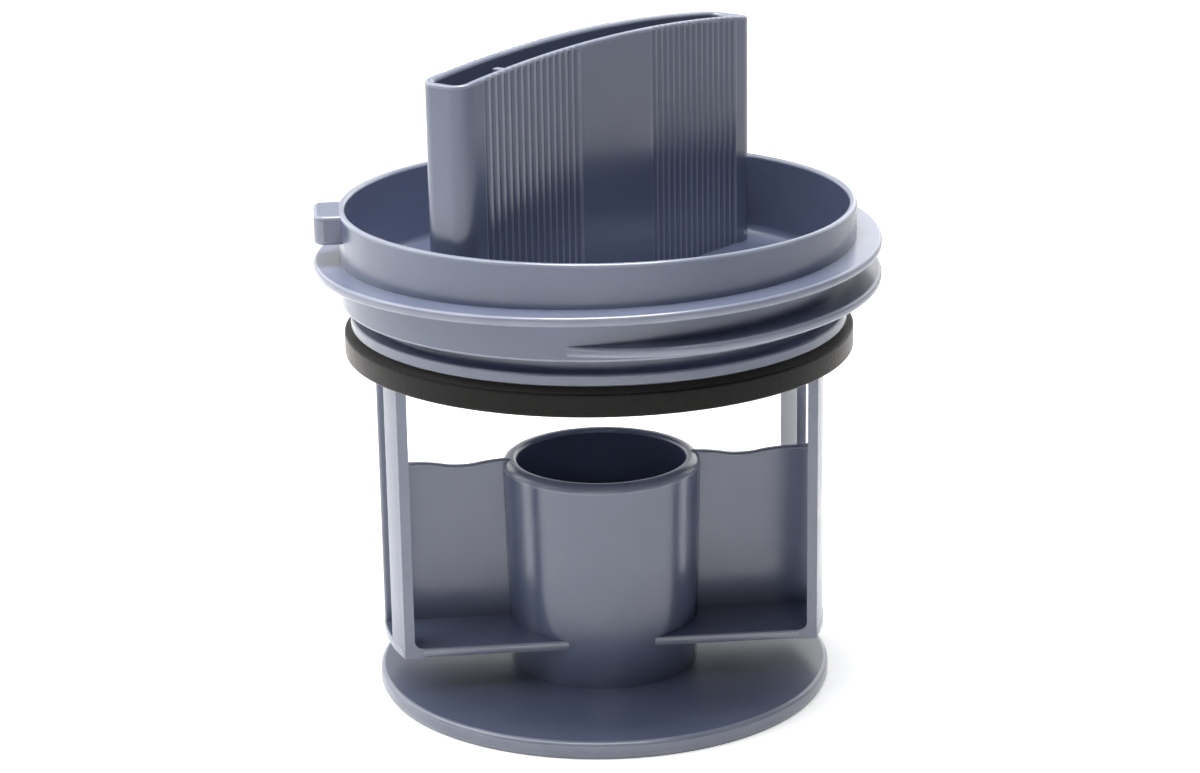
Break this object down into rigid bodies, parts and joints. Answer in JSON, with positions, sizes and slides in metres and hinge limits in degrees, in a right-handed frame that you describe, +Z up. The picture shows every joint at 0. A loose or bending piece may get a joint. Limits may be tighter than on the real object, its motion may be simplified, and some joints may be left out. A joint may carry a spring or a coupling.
{
  "type": "washer pump filter",
  "caption": "Screw-in drain pump filter: ribbed hollow grip in a bowl-shaped threaded cap with a rubber sealing ring, over an open lint cage with a suction tube and a base disc.",
  "frame": {"origin": "centre of the base disc's underside, which the filter stands on", "axes": "+Z up along the screw axis to the grip, +X along the cage's wings with the stop tab at -X, -Y is the front"},
  "size_m": [0.07, 0.07, 0.0829],
  "materials": {
    "moulded_plastic": "satin blue-grey moulded plastic",
    "seal_rubber": "matt black rubber"
  },
  "bodies": {
    "root": {"filter_body": "moulded_plastic", "seal_ring": "seal_rubber"}
  },
  "joints": []
}
